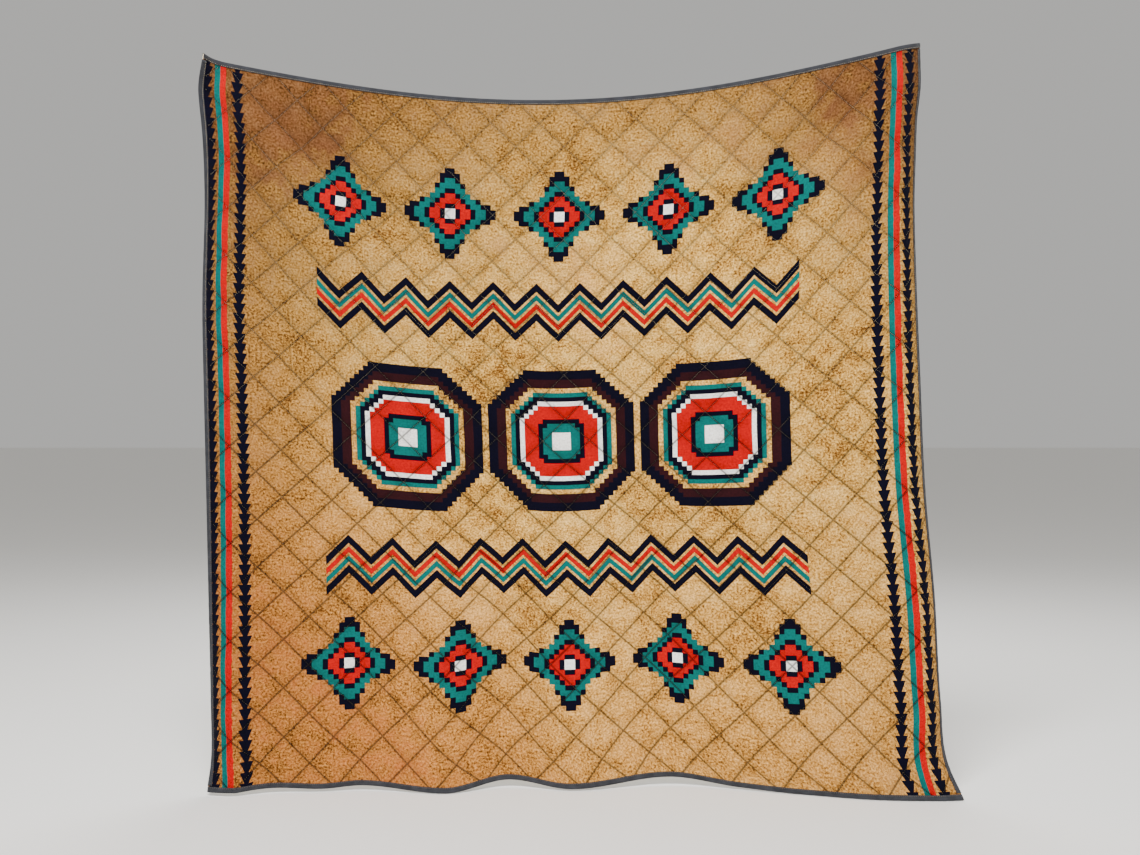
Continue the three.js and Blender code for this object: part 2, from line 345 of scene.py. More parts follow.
def write_uv(mesh, across, up):
    """UV map of a mesh from one pair of coordinates for each vertex."""
    corners = np.empty(len(mesh.loops), dtype=np.int32)
    mesh.loops.foreach_get("vertex_index", corners)
    layer = mesh.uv_layers.new(name="cloth")
    layer.data.foreach_set("uv", np.stack([across[corners], up[corners]], axis=-1).ravel())


def write_points(mesh, points):
    """Move a mesh's vertices to points given in millimetres."""
    mesh.vertices.foreach_set("co", (points * MM).ravel())
    mesh.update()


def add(tree, kind, inputs=None, stops=None, **settings):
    """Add a node with its settings and stops, and set or link its inputs.

    A node given as an input stands for its first live output.
    """
    node = tree.nodes.new(kind)
    for name, value in settings.items():
        setattr(node, name, value)
    for key, value in (inputs or {}).items():
        if isinstance(value, bpy.types.Node):
            value = next(output for output in value.outputs if output.enabled)
        if isinstance(value, bpy.types.NodeSocket):
            tree.links.new(value, node.inputs[key])
        else:
            node.inputs[key].default_value = value
    for index, (position, colour) in enumerate(stops or ()):
        elements = node.color_ramp.elements
        element = elements[index] if index < 2 else elements.new(0.9999)
        element.position = position
        element.color = colour
    return node


def new_material(name):
    """Empty node material with its shader joined to its output."""
    material = bpy.data.materials.new(name)
    material.use_nodes = True
    tree = material.node_tree
    tree.nodes.clear()
    shader = add(tree, "ShaderNodeBsdfPrincipled")
    add(tree, "ShaderNodeOutputMaterial", {"Surface": shader})
    return material, tree, shader


def shades(colour, *shares):
    """A colour made darker or lighter by shares."""
    return [(*[share * part for part in colour[:3]], 1) for share in shares]


def band_stops(bands, colours):
    """Ramp stops of printed bands over their whole run; bare bands are clear."""
    run = bands[-1][0] + 1
    return [(start / run, (0, 0, 0, 0) if name == "bare" else colours[name]) for start, name in bands], run


def banded_motif(tree, paint, ring, within, bands, colours):
    """Print a motif of bands over the paint so far, where it is within its row."""
    stops, run = band_stops(bands, colours)
    share = add(tree, "ShaderNodeMath", {0: ring, 1: 1 / run, 2: 0.2 / run}, operation="MULTIPLY_ADD")
    ramp = add(tree, "ShaderNodeValToRGB", {0: share}, stops)
    ramp.color_ramp.interpolation = "CONSTANT"
    cover = add(tree, "ShaderNodeMath", {0: ramp.outputs["Alpha"], 1: within}, operation="MULTIPLY")
    return add(tree, "ShaderNodeMix", {0: cover, 6: paint, 7: ramp.outputs["Color"]}, data_type="RGBA")


def steps_from(tree, place_in, middle, step):
    """Whole steps from a motif's middle line."""
    away = add(tree, "ShaderNodeMath", {0: place_in, 1: middle}, operation="SUBTRACT")
    away = add(tree, "ShaderNodeMath", {0: away}, operation="ABSOLUTE")
    away = add(tree, "ShaderNodeMath", {0: away, 1: step}, operation="DIVIDE")
    return add(tree, "ShaderNodeMath", {0: away}, operation="FLOOR")


def cloth_places(tree):
    """Places on the flat cloth: metres as a vector, millimetres from its middle, and nearness to a seam."""
    uv = add(tree, "ShaderNodeUVMap", uv_map="cloth")
    metres = add(tree, "ShaderNodeVectorMath", {0: uv, 1: (WIDTH * MM, LENGTH * MM, 1)}, operation="MULTIPLY")
    parts = add(tree, "ShaderNodeSeparateXYZ", {0: uv})
    across = parts.outputs["X"]
    up = parts.outputs["Y"]
    x = add(tree, "ShaderNodeMath", {0: across, 1: WIDTH, 2: -WIDTH / 2}, operation="MULTIPLY_ADD")
    y = add(tree, "ShaderNodeMath", {0: up, 1: LENGTH, 2: -LENGTH / 2}, operation="MULTIPLY_ADD")
    column_place = add(tree, "ShaderNodeMath", {0: across, 1: CELLS}, operation="MULTIPLY")
    row_place = add(tree, "ShaderNodeMath", {0: up, 1: -CELLS, 2: CELLS}, operation="MULTIPLY_ADD")
    rising = add(tree, "ShaderNodeMath", {0: column_place, 1: row_place}, operation="ADD")
    falling = add(tree, "ShaderNodeMath", {0: column_place, 1: row_place}, operation="SUBTRACT")
    near_rising = add(tree, "ShaderNodeMath", {0: rising, 1: 1.0}, operation="PINGPONG")
    near_falling = add(tree, "ShaderNodeMath", {0: falling, 1: 1.0}, operation="PINGPONG")
    seam = add(tree, "ShaderNodeMath", {0: near_rising, 1: near_falling}, operation="MAXIMUM")
    return metres, x, y, seam


def cloth_normal(tree, metres, seam):
    """Normal of a soft woven face: nap about 2.5 mm, and puckers about 16 mm that draw in to the sewn lines.

    Real threads are finer than a pixel, so the nap is drawn coarse enough to show.
    """
    near = add(tree, "ShaderNodeMapRange", {"Value": seam, "From Min": 0.4, "From Max": 1.0, "To Min": 0.3})
    inputs = {"Vector": metres, "Scale": 62.0, "Detail": 2.0, "Roughness": 0.55}
    pucker = add(tree, "ShaderNodeTexNoise", inputs)
    drawn = add(tree, "ShaderNodeMath", {0: pucker, 1: near}, operation="MULTIPLY")
    nap = add(tree, "ShaderNodeTexNoise", {"Vector": metres, "Scale": 400.0, "Detail": 2.0})
    height = add(tree, "ShaderNodeMath", {0: nap, 1: 0.14, 2: drawn}, operation="MULTIPLY_ADD")
    return add(tree, "ShaderNodeBump", {"Strength": 0.8, "Distance": 0.006, "Height": height})


def printed_ground(tree, metres, x, y, colours):
    """Mottled suede-like ground: golden in the middle, browner towards its edges, rusty at the lower left.

    Its clouds are about 290 mm, its suede patches 37 mm and its grains 5.5 mm.
    """
    cloud = add(tree, "ShaderNodeTexNoise", {"Vector": metres, "Scale": 3.4, "Detail": 4.0, "Roughness": 0.6})
    inputs = {"Vector": metres, "Scale": 27.0, "Detail": 6.0, "Roughness": 0.65}
    suede = add(tree, "ShaderNodeTexNoise", inputs)
    inputs = {"Vector": metres, "Scale": 180.0, "Detail": 3.0, "Roughness": 0.75}
    grain = add(tree, "ShaderNodeTexNoise", inputs)
    tone = add(tree, "ShaderNodeMath", {0: cloud, 1: 0.24}, operation="MULTIPLY")
    tone = add(tree, "ShaderNodeMath", {0: suede, 1: 0.26, 2: tone}, operation="MULTIPLY_ADD")
    tone = add(tree, "ShaderNodeMath", {0: grain, 1: 0.50, 2: tone}, operation="MULTIPLY_ADD")
    stops = ((0.41, colours["ground_dark"]), (0.485, colours["ground"]), (0.6, colours["ground_light"]))
    paint = add(tree, "ShaderNodeValToRGB", {0: tone}, stops)
    patchy = add(tree, "ShaderNodeMath", {0: suede, 1: cloud}, operation="ADD")
    inputs = {"Value": patchy, "From Min": 0.75, "From Max": 1.25, "To Min": 0.55}
    patchy = add(tree, "ShaderNodeMapRange", inputs)
    side = add(tree, "ShaderNodeMath", {0: x}, operation="ABSOLUTE")
    inputs = {"Value": side, "From Min": 380.0, "From Max": 915.0, "To Max": 0.3}
    side = add(tree, "ShaderNodeMapRange", inputs)
    top = add(tree, "ShaderNodeMapRange", {"Value": y, "From Min": 560.0, "From Max": 900.0, "To Max": 0.35})
    lean = add(tree, "ShaderNodeMath", {0: y, 1: x}, operation="SUBTRACT")
    inputs = {"Value": lean, "From Min": 350.0, "From Max": 1500.0, "To Max": 0.95}
    corner = add(tree, "ShaderNodeMapRange", inputs)
    lean = add(tree, "ShaderNodeMath", {0: y, 1: x}, operation="ADD")
    inputs = {"Value": lean, "From Min": 850.0, "From Max": 1600.0, "To Max": 0.8}
    other = add(tree, "ShaderNodeMapRange", inputs)
    corner = add(tree, "ShaderNodeMath", {0: corner, 1: other}, operation="ADD")
    aged = add(tree, "ShaderNodeMath", {0: side, 1: top}, operation="ADD")
    aged = add(tree, "ShaderNodeMath", {0: aged, 1: corner}, operation="ADD")
    aged = add(tree, "ShaderNodeMath", {0: aged, 1: patchy}, operation="MULTIPLY", use_clamp=True)
    inputs = {0: aged, 6: paint, 7: colours["stain"]}
    paint = add(tree, "ShaderNodeMix", inputs, data_type="RGBA", blend_type="MULTIPLY")
    low = add(tree, "ShaderNodeMath", {0: x, 1: y}, operation="ADD")
    inputs = {"Value": low, "From Min": -300.0, "From Max": -1250.0, "To Max": 1.0}
    low = add(tree, "ShaderNodeMapRange", inputs)
    hem = add(tree, "ShaderNodeMapRange", {"Value": y, "From Min": -100.0, "From Max": -850.0, "To Max": 0.5})
    inputs = {"Value": cloud, "From Min": 0.56, "From Max": 0.68, "To Max": 0.4}
    blot = add(tree, "ShaderNodeMapRange", inputs)
    rusty = add(tree, "ShaderNodeMath", {0: low, 1: hem}, operation="MAXIMUM")
    rusty = add(tree, "ShaderNodeMath", {0: rusty, 1: blot}, operation="MAXIMUM")
    rusty = add(tree, "ShaderNodeMath", {0: rusty, 1: patchy}, operation="MULTIPLY")
    inputs = {0: rusty, 6: paint, 7: colours["rust"]}
    return grain, add(tree, "ShaderNodeMix", inputs, data_type="RGBA", blend_type="MULTIPLY")


def printed_cotton(colours):
    """Brushed cotton with a matt all-over print: mottled suede-like ground, flat inks, no gloss."""
    material, tree, shader = new_material("Printed brushed cotton")
    metres, x, y, seam = cloth_places(tree)
    grain, paint = printed_ground(tree, metres, x, y, colours)
    shifted = add(tree, "ShaderNodeMath", {0: x, 1: PRINT_SHIFT}, operation="ADD")
    side = add(tree, "ShaderNodeMath", {0: shifted}, operation="ABSOLUTE")
    height = add(tree, "ShaderNodeMath", {0: y}, operation="ABSOLUTE")

    # Row of three stepped octagons across the middle
    spot = add(tree, "ShaderNodeMath", {0: side, 1: OCTAGON_HALF}, operation="PINGPONG")
    columns = steps_from(tree, spot, 0.0, OCTAGON_STEP)
    rows = steps_from(tree, height, 0.0, OCTAGON_STEP)
    slant = add(tree, "ShaderNodeMath", {0: columns, 1: rows}, operation="ADD")
    slant = add(tree, "ShaderNodeMath", {0: slant, 1: OCTAGON_CORNER}, operation="MULTIPLY")
    slant = add(tree, "ShaderNodeMath", {0: slant}, operation="FLOOR")
    ring = add(tree, "ShaderNodeMath", {0: columns, 1: rows}, operation="MAXIMUM")
    ring = add(tree, "ShaderNodeMath", {0: ring, 1: slant}, operation="MAXIMUM")
    within = add(tree, "ShaderNodeMath", {0: side, 1: OCTAGON_ROW}, operation="LESS_THAN")
    paint = banded_motif(tree, paint, ring, within, OCTAGON, colours)

    # Zigzag bands above and below that row
    wave = add(tree, "ShaderNodeMath", {0: side, 1: ZIGZAG_RISE}, operation="PINGPONG")
    level = add(tree, "ShaderNodeMath", {0: height, 1: ZIGZAG_HEIGHT}, operation="SUBTRACT")
    level = add(tree, "ShaderNodeMath", {0: level, 1: wave}, operation="SUBTRACT")
    within = add(tree, "ShaderNodeMath", {0: side, 1: ZIGZAG_ROW}, operation="LESS_THAN")
    started = add(tree, "ShaderNodeMath", {0: level, 1: 0.0}, operation="GREATER_THAN")
    within = add(tree, "ShaderNodeMath", {0: within, 1: started}, operation="MULTIPLY")
    paint = banded_motif(tree, paint, level, within, ZIGZAG, colours)

    # Rows of five stepped stars towards the top and the hem
    spot = add(tree, "ShaderNodeMath", {0: side, 1: STAR_HALF}, operation="PINGPONG")
    columns = steps_from(tree, spot, 0.0, STAR_STEP)
    rows = steps_from(tree, height, STAR_HEIGHT, STAR_STEP)
    notch = add(tree, "ShaderNodeMath", {0: columns, 1: rows}, operation="MULTIPLY")
    kept = add(tree, "ShaderNodeMath", {0: notch, 1: STAR_NOTCH}, operation="LESS_THAN")
    within = add(tree, "ShaderNodeMath", {0: side, 1: STAR_ROW}, operation="LESS_THAN")
    within = add(tree, "ShaderNodeMath", {0: within, 1: kept}, operation="MULTIPLY")
    ring = add(tree, "ShaderNodeMath", {0: columns, 1: rows}, operation="ADD")
    paint = banded_motif(tree, paint, ring, within, STAR, colours)

    # Side borders: two stripes between two columns of stacked triangles that point down
    on_right = add(tree, "ShaderNodeMath", {0: shifted, 1: 0.0}, operation="GREATER_THAN")
    stripes = ((BORDER + STRIPE / 2, "teal", "red"), (BORDER - STRIPE / 2, "red", "teal"))
    for middle, left_ink, right_ink in stripes:
        inputs = {0: on_right, 6: colours[left_ink], 7: colours[right_ink]}
        ink = add(tree, "ShaderNodeMix", inputs, data_type="RGBA")
        stripe = add(tree, "ShaderNodeMath", {0: side, 1: middle, 2: STRIPE / 2}, operation="COMPARE")
        paint = add(tree, "ShaderNodeMix", {0: stripe, 6: paint, 7: ink}, data_type="RGBA")
    fall = add(tree, "ShaderNodeMath", {0: y, 1: -1 / TRIANGLE_RISE}, operation="MULTIPLY")
    fall = add(tree, "ShaderNodeMath", {0: fall}, operation="FRACT")
    half = add(tree, "ShaderNodeMath", {0: fall, 1: -10.5, 2: 15.5}, operation="MULTIPLY_ADD")
    apart = add(tree, "ShaderNodeMath", {0: side, 1: TRIANGLES_MIDDLE}, operation="SUBTRACT")
    apart = add(tree, "ShaderNodeMath", {0: apart}, operation="ABSOLUTE")
    apart = add(tree, "ShaderNodeMath", {0: apart, 1: TRIANGLES_APART}, operation="SUBTRACT")
    apart = add(tree, "ShaderNodeMath", {0: apart}, operation="ABSOLUTE")
    triangle = add(tree, "ShaderNodeMath", {0: apart, 1: half}, operation="LESS_THAN")
    paint = add(tree, "ShaderNodeMix", {0: triangle, 6: paint, 7: colours["navy"]}, data_type="RGBA")

    # Inks take a little of the grain; the sewn lines get a narrow painted shade, deeper towards the hem, and
    # a wider soft painted shade lies in the valleys beside them
    inputs = {"Value": grain, "From Min": 0.3, "From Max": 0.7, "To Min": 0.72, "To Max": 1.28}
    worn = add(tree, "ShaderNodeMapRange", inputs)
    # Painted shade on the sewn lines: deepest at the hem, weaker towards the top
    inputs = {"Value": y, "From Min": 650.0, "From Max": -50.0, "To Min": 0.56, "To Max": 0.3}
    depth = add(tree, "ShaderNodeMapRange", inputs)
    inputs = {"Value": seam, "From Min": 0.925, "From Max": 0.98, "To Min": 1.0, "To Max": depth}
    drawn = add(tree, "ShaderNodeMapRange", inputs)
    # Soft painted shade in the valleys on each side of a sewn line
    inputs = {"Value": seam, "From Min": 0.5, "From Max": 1.0, "To Min": 1.0, "To Max": 0.8}
    shade = add(tree, "ShaderNodeMapRange", inputs)
    value = add(tree, "ShaderNodeMath", {0: worn, 1: drawn}, operation="MULTIPLY")
    value = add(tree, "ShaderNodeMath", {0: value, 1: shade}, operation="MULTIPLY")
    tint = add(tree, "ShaderNodeCombineColor", {0: value, 1: value, 2: value})
    paint = add(tree, "ShaderNodeMix", {0: 1.0, 6: paint, 7: tint}, data_type="RGBA", blend_type="MULTIPLY")
    normal = cloth_normal(tree, metres, seam)
    tree.links.new(paint.outputs[2], shader.inputs["Base Color"])
    tree.links.new(normal.outputs["Normal"], shader.inputs["Normal"])
    shader.inputs["Roughness"].default_value = 0.9
    shader.inputs["Specular IOR Level"].default_value = 0.1
    shader.inputs["Sheen Weight"].default_value = 0.02
    shader.inputs["Sheen Roughness"].default_value = 0.5
    return material


def backing_cotton(colours):
    """Plain undyed cotton of the back: pale, matt, faintly slubbed, with painted shade along the sewn lines.
    """
    material, tree, shader = new_material("Plain cotton backing")
    places = cloth_places(tree)
    metres = places[0]
    seam = places[-1]
    inputs = {"Vector": metres, "Scale": 70.0, "Detail": 5.0, "Roughness": 0.65}
    slub = add(tree, "ShaderNodeTexNoise", inputs)
    dark, light = shades(colours["back"], 0.8, 1.05)
    paint = add(tree, "ShaderNodeValToRGB", {0: slub}, ((0.3, dark), (0.7, light)))
    # Painted shade in the grooves of the sewn lines
    inputs = {"Value": seam, "From Min": 0.94, "From Max": 1.0, "To Min": 1.0, "To Max": 0.68}
    drawn = add(tree, "ShaderNodeMapRange", inputs)
    tint = add(tree, "ShaderNodeCombineColor", {0: drawn, 1: drawn, 2: drawn})
    paint = add(tree, "ShaderNodeMix", {0: 1.0, 6: paint, 7: tint}, data_type="RGBA", blend_type="MULTIPLY")
    normal = cloth_normal(tree, metres, seam)
    tree.links.new(paint.outputs[2], shader.inputs["Base Color"])
    tree.links.new(normal.outputs["Normal"], shader.inputs["Normal"])
    shader.inputs["Roughness"].default_value = 0.92
    shader.inputs["Specular IOR Level"].default_value = 0.2
    shader.inputs["Sheen Weight"].default_value = 0.06
    return material


def twill_tape(colours):
    """Charcoal cotton twill tape of the binding: matt, with slanting ribs, faded in patches.

    Real ribs are about 1 mm apart and are drawn 2.5 mm apart so that they show.
    """
    material, tree, shader = new_material("Cotton twill tape")
    uv = add(tree, "ShaderNodeUVMap", uv_map="cloth")
    parts = add(tree, "ShaderNodeSeparateXYZ", {0: uv})
    slant = add(tree, "ShaderNodeMath", {0: parts.outputs["X"], 1: parts.outputs["Y"]}, operation="ADD")
    rib = add(tree, "ShaderNodeMath", {0: slant, 1: 2 * np.pi / 0.0025}, operation="MULTIPLY")
    rib = add(tree, "ShaderNodeMath", {0: rib}, operation="SINE")
    fade = add(tree, "ShaderNodeTexNoise", {"Vector": uv, "Scale": 45.0, "Detail": 4.0, "Roughness": 0.6})
    worn = add(tree, "ShaderNodeMath", {0: rib, 1: 0.08, 2: fade}, operation="MULTIPLY_ADD")
    dark, light = shades(colours["tape"], 0.6, 1.25)
    tone = add(tree, "ShaderNodeValToRGB", {0: worn}, ((0.3, dark), (0.72, light)))
    normal = add(tree, "ShaderNodeBump", {"Strength": 0.35, "Distance": 0.0006, "Height": rib})
    tree.links.new(tone.outputs["Color"], shader.inputs["Base Color"])
    tree.links.new(normal.outputs["Normal"], shader.inputs["Normal"])
    shader.inputs["Roughness"].default_value = 0.9
    shader.inputs["Specular IOR Level"].default_value = 0.2
    shader.inputs["Sheen Weight"].default_value = 0.1
    return material


def spun_thread(colours):
    """Spun polyester thread of the stitches: slightly silky, streaked along its ply about 1 mm apart.

    Its upper half is painted paler, a painted highlight for the light it catches there, and it is taupe
    towards the hem.
    """
    material, tree, shader = new_material("Spun polyester thread")
    place_in = add(tree, "ShaderNodeTexCoord").outputs["Object"]
    ply = add(tree, "ShaderNodeTexNoise", {"Vector": place_in, "Scale": 900.0, "Detail": 1.0})
    parts = add(tree, "ShaderNodeSeparateXYZ", {0: place_in})
    # Painted highlight: the thread turns paler from the hem side up to the upper half
    upper = add(tree, "ShaderNodeMapRange", {"Value": parts.outputs["Z"], "From Min": -1.1, "From Max": -0.5})
    inputs = {0: upper, 6: colours["thread"], 7: colours["thread_light"]}
    paint = add(tree, "ShaderNodeMix", inputs, data_type="RGBA")
    streak = add(tree, "ShaderNodeValToRGB", {0: ply}, ((0.3, (0.7, 0.7, 0.7, 1)), (0.7, (1, 1, 1, 1))))
    inputs = {0: 1.0, 6: paint, 7: streak.outputs["Color"]}
    paint = add(tree, "ShaderNodeMix", inputs, data_type="RGBA", blend_type="MULTIPLY")
    tree.links.new(paint.outputs[2], shader.inputs["Base Color"])
    shader.inputs["Roughness"].default_value = 0.6
    shader.inputs["Sheen Weight"].default_value = 0.1
    return material


def flat_quilting(rows_per_cell):
    """Flat sheet cut to size, its grid lines along the quilting and gathered towards the sewn lines."""
    bm = bmesh.new()
    lines = CELLS * rows_per_cell
    bmesh.ops.create_grid(bm, x_segments=lines, y_segments=lines, size=CELLS)
    for vert in bm.verts:
        rising, falling = (gather(share) for share in (vert.co.x + CELLS, vert.co.y))
        vert.co.x = (rising + falling) / 2 * CELL_ACROSS
        vert.co.y = (falling - rising) / 2 * CELL_DOWN
    cuts = (
        ((0, 0, 0), (-1, 0, 0)), ((WIDTH, 0, 0), (1, 0, 0)),
        ((0, 0, 0), (0, 1, 0)), ((0, -LENGTH, 0), (0, -1, 0)),
    )
    for point, outward in cuts:
        geometry = bm.verts[:] + bm.edges[:] + bm.faces[:]
        bmesh.ops.bisect_plane(
            bm, geom=geometry, dist=0.01, plane_co=point, plane_no=outward, clear_outer=True)
    return bm


def gather(share):
    """Move a lattice coordinate towards the nearest sewn line, which runs at each odd number."""
    turn = np.pi * (share - 1)
    return share - 0.8 * np.sin(turn) / np.pi


class BedspreadSizes(bpy.types.PropertyGroup):
    """Sizes of the bedspread that a user would change."""

    seam_half: bpy.props.FloatProperty(
        name="Seam half thickness", description="Half thickness on a sewn line",
        default=0.0012, unit="LENGTH")
    crown_half: bpy.props.FloatProperty(
        name="Crown half thickness", description="Half thickness in the middle of a diamond",
        default=0.0074, unit="LENGTH")
    stitch_pitch: bpy.props.FloatProperty(
        name="Stitch pitch", description="From one quilting stitch to the next", default=0.005, unit="LENGTH")
    tape_reach: bpy.props.FloatProperty(
        name="Tape reach", description="How far the binding reaches over the cloth",
        default=0.0108, unit="LENGTH")
    tape_wall: bpy.props.FloatProperty(
        name="Tape wall", description="Thickness of the binding tape", default=0.0008, unit="LENGTH")
    tape_lift: bpy.props.FloatProperty(
        name="Tape lift", description="From the cloth's middle layer to the tape's middle",
        default=0.0022, unit="LENGTH")


class BedspreadColours(bpy.types.PropertyGroup):
    """Colours of the print, the back, the tape and the thread."""

    ground: bpy.props.FloatVectorProperty(
        name="Ground", description="Tan ground of the print", subtype="COLOR", size=4,
        default=linear("CA9744"))
    ground_light: bpy.props.FloatVectorProperty(
        name="Light ground", description="Lightest grains of the ground", subtype="COLOR", size=4,
        default=linear("F4CA78"))
    ground_dark: bpy.props.FloatVectorProperty(
        name="Dark ground", description="Darkest grains of the ground", subtype="COLOR", size=4,
        default=linear("6A3D14"))
    stain: bpy.props.FloatVectorProperty(
        name="Stain", description="Tint of the aged top and edges", subtype="COLOR", size=4,
        default=linear("84707A"))
    rust: bpy.props.FloatVectorProperty(
        name="Rust", description="Tint of the rusty lower left", subtype="COLOR", size=4,
        default=linear("CA9484"))
    navy: bpy.props.FloatVectorProperty(
        name="Navy", description="Darkest ink", subtype="COLOR", size=4, default=linear("020114"))
    teal: bpy.props.FloatVectorProperty(
        name="Teal", description="Teal ink", subtype="COLOR", size=4, default=linear("005F5A"))
    red: bpy.props.FloatVectorProperty(
        name="Red", description="Red ink", subtype="COLOR", size=4, default=linear("B40003"))
    white: bpy.props.FloatVectorProperty(
        name="White", description="White ink", subtype="COLOR", size=4, default=linear("FBF8F2"))
    maroon: bpy.props.FloatVectorProperty(
        name="Maroon", description="Maroon ink", subtype="COLOR", size=4, default=linear("280A0F"))
    back: bpy.props.FloatVectorProperty(
        name="Back", description="Pale cotton of the back", subtype="COLOR", size=4, default=linear("E6DCC0"))
    tape: bpy.props.FloatVectorProperty(
        name="Tape", description="Charcoal binding", subtype="COLOR", size=4, default=linear("333439"))
    thread: bpy.props.FloatVectorProperty(
        name="Thread", description="Taupe thread", subtype="COLOR", size=4, default=linear("7C6650"))
    # Painted highlight colour of the thread on the upper half
    thread_light: bpy.props.FloatVectorProperty(
        name="Light thread", description="Thread on the upper half", subtype="COLOR", size=4,
        default=linear("D9C7A6"))


class BedspreadStage(bpy.types.PropertyGroup):
    """Camera and light of the stage."""

    camera_side: bpy.props.FloatProperty(
        name="Camera side", description="Camera's place to the right of the top edge's middle",
        default=0.0244, unit="LENGTH")
    camera_away: bpy.props.FloatProperty(
        name="Camera away", description="Camera's distance in front", default=3.6, unit="LENGTH")
    camera_below: bpy.props.FloatProperty(
        name="Camera below", description="Camera's place below the top edge", default=0.798, unit="LENGTH")
    lens: bpy.props.FloatProperty(
        name="Lens", description="Focal length on a 36 mm wide frame, in millimetres", default=46.61)


def palette():
    """Colours by name, as plain tuples."""
    group = bpy.context.scene.bedspread_colours
    return {name: tuple(getattr(group, name)) for name in BedspreadColours.__annotations__}


def shared_material(make):
    """A material made once and used by every piece of its kind."""
    made = bpy.context.scene.get("bedspread_" + make.__name__)
    if made is None:
        made = make(palette())
        bpy.context.scene["bedspread_" + make.__name__] = made
    return made


class BEDSPREAD_OT_quilted_body(bpy.types.Operator):
    """Build the quilted sandwich: printed top, wadding and back in one closed sheet"""

    bl_idname = "bedspread.quilted_body"
    bl_label = "Quilted body"

    def execute(self, context):
        sizes = context.scene.bedspread_sizes
        bm = flat_quilting(8)
        extruded = bmesh.ops.extrude_face_region(bm, geom=bm.faces[:])
        behind = [item for item in extruded["geom"] if isinstance(item, bmesh.types.BMVert)]
        bmesh.ops.translate(bm, verts=behind, vec=(0, 0, -1))
        bmesh.ops.recalc_face_normals(bm, faces=bm.faces[:])
        for face in bm.faces:
            face.material_index = 0 if face.normal.z > 0.5 else 1
        materials = [shared_material(printed_cotton), shared_material(backing_cotton)]
        body = finish_piece(bm, "quilted_cloth", materials)
        flat = read_points(body.data)
        u = np.clip(flat[:, 0], 0, WIDTH)
        v = np.clip(-flat[:, 1], 0, LENGTH)
        side = np.where(flat[:, 2] > -0.5, 1.0, -1.0)
        point, normal = place(u, v)
        half = puff(u, v, sizes.seam_half / MM, sizes.crown_half / MM)
        write_points(body.data, point + normal * (side * half)[:, None])
        write_uv(body.data, u / WIDTH, 1 - v / LENGTH)
        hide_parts("quilted_body")
        return {"FINISHED"}


def repeat(bm, step, steps):
    """Repeat everything in a bmesh at even steps."""
    everything = bm.verts[:] + bm.edges[:] + bm.faces[:]
    bmesh.ops.spin(bm, geom=everything, dvec=step, axis=(0, 0, 1), steps=steps, use_duplicate=True)


def edge_places(name, along, inward):
    """Cloth coordinates of places along an edge, some way in from it."""
    if name == "top":
        return along, inward
    if name == "bottom":
        return along, LENGTH - inward
    if name == "left":
        return inward, along
    return WIDTH - inward, along


class BEDSPREAD_OT_bindings(bpy.types.Operator):
    """Build the four folded binding tapes over the edges"""

    bl_idname = "bedspread.bindings"
    bl_label = "Bindings"

    def execute(self, context):
        sizes = context.scene.bedspread_sizes
        for name, run, short in EDGES:
            bm = bmesh.new()
            bmesh.ops.create_grid(bm, x_segments=300, y_segments=20, size=0.5)
            tape = finish_piece(bm, "tape_" + name, [shared_material(twill_tape)])
            flat = read_points(tape.data)
            along = short + (flat[:, 0] + 0.5) * (run - 2 * short)
            inward, rise = fold(flat[:, 1] + 0.5, sizes.tape_reach / MM, sizes.tape_lift / MM)
            rise = rise * (1 + 0.10 * np.sin(along / 4.1) * np.sin(along / 17.3 + 1.7))
            u, v = edge_places(name, along, inward)
            point, normal = place(u, v)
            write_points(tape.data, point + normal * rise[:, None])
            write_uv(tape.data, along * MM, (flat[:, 1] + 0.5) * TAPE_CUT * MM)
            wall = tape.modifiers.new("Wall", "SOLIDIFY")
            wall.thickness = sizes.tape_wall
            wall.offset = 0.0
            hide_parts("binding_" + name)
        return {"FINISHED"}


class BEDSPREAD_OT_tape_stitches(bpy.types.Operator):
    """Build the stitches that hold the tapes, on the front and on the back"""

    bl_idname = "bedspread.tape_stitches"
    bl_label = "Tape stitches"

    def execute(self, context):
        sizes = context.scene.bedspread_sizes
        pitch = sizes.stitch_pitch / MM
        inward = sizes.tape_reach / MM - 2.2
        lift = (sizes.tape_lift + sizes.tape_wall / 2) / MM + 0.28
        for name, run, short in EDGES:
            bm = bmesh.new()
            one_stitch(bm, STITCH_SHARE * pitch, STITCH_WIDTH, STITCH_HEIGHT)
            bmesh.ops.translate(bm, verts=bm.verts[:], vec=(short + 4.0, 0, 0))
            steps = int((run - 2 * short - 8.0) / pitch)
            repeat(bm, (pitch, 0, 0), steps)
            repeat(bm, (0, 100, 0), 1)
            stitches = finish_piece(bm, "tape_stitches_" + name, [shared_material(spun_thread)])
            flat = read_points(stitches.data)
            side = np.where(flat[:, 1] < 50, 1.0, -1.0)
            aside = flat[:, 1] - np.where(side > 0, 0, 100)
            u, v = edge_places(name, flat[:, 0], inward + aside)
            point, normal = place(u, v)
            write_points(stitches.data, point + normal * (side * lift + flat[:, 2])[:, None])
            # Cloth coordinates are mirrored along these two edges
            if name in ("top", "right"):
                stitches.data.flip_normals()
        return {"FINISHED"}


def fold(share, reach_over, lift):
    """Section of a folded tape: over the front, round the edge, and over the back."""
    flat_run = reach_over
    bend_run = np.pi * lift
    run = share * (2 * flat_run + bend_run)
    angle = np.clip((run - flat_run) / lift, 0, np.pi)
    inward = np.where(run < flat_run, flat_run - run, np.where(angle < np.pi, 0, run - flat_run - bend_run))
    inward = np.where((angle > 0) & (angle < np.pi), -np.sin(angle) * TAPE_EDGE, inward)
    rise = lift * np.cos(angle)
    bulge = np.sin(np.pi * np.clip(inward / flat_run, 0, 1)) * TAPE_BULGE
    tuck = np.clip((inward - flat_run + TAPE_TUCK_RUN) / TAPE_TUCK_RUN, 0, 1) * TAPE_TUCK
    return inward, rise + np.sign(rise) * (bulge - tuck)


